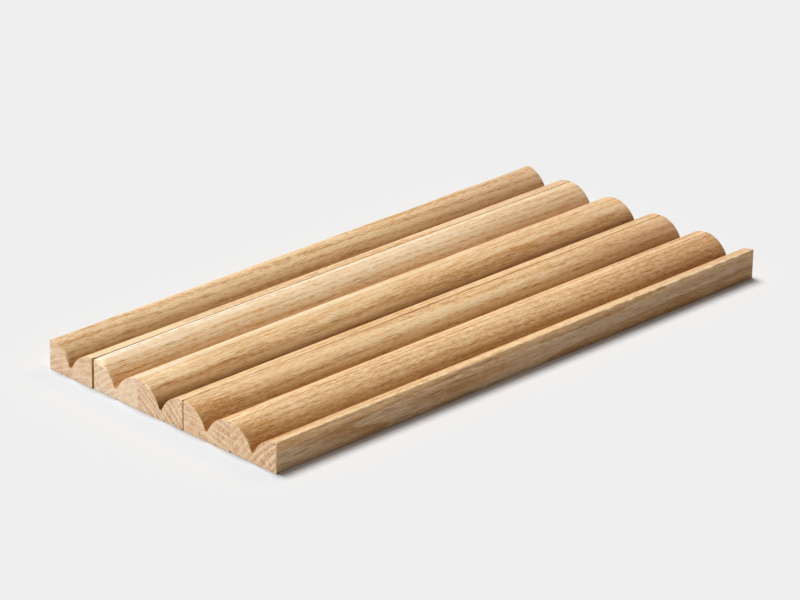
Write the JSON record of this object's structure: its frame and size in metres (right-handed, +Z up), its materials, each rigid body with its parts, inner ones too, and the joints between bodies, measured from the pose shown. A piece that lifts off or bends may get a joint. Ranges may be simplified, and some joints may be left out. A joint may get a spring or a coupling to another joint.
{
  "type": "pen tray",
  "caption": "Low free-standing wooden desk tray of grooved strips joined side by side, each groove open at both ends and holding one pen or pencil.",
  "frame": {"origin": "middle of the base, on the surface that the tray stands on", "axes": "+X across the strips to the right, +Y along the grooves to the back, +Z up"},
  "size_m": [0.101, 0.212, 0.01],
  "materials": {
    "oak": "oiled oak, satin",
    "dowel_wood": "bare beech, matt"
  },
  "bodies": {
    "root": {"left_outer_strip": "oak", "left_inner_strip": "oak", "centre_strip": "oak", "right_inner_strip": "oak", "right_outer_strip": "oak", "left_outer_seam_dowels": "dowel_wood", "left_inner_seam_dowels": "dowel_wood", "right_inner_seam_dowels": "dowel_wood", "right_outer_seam_dowels": "dowel_wood"}
  },
  "joints": []
}
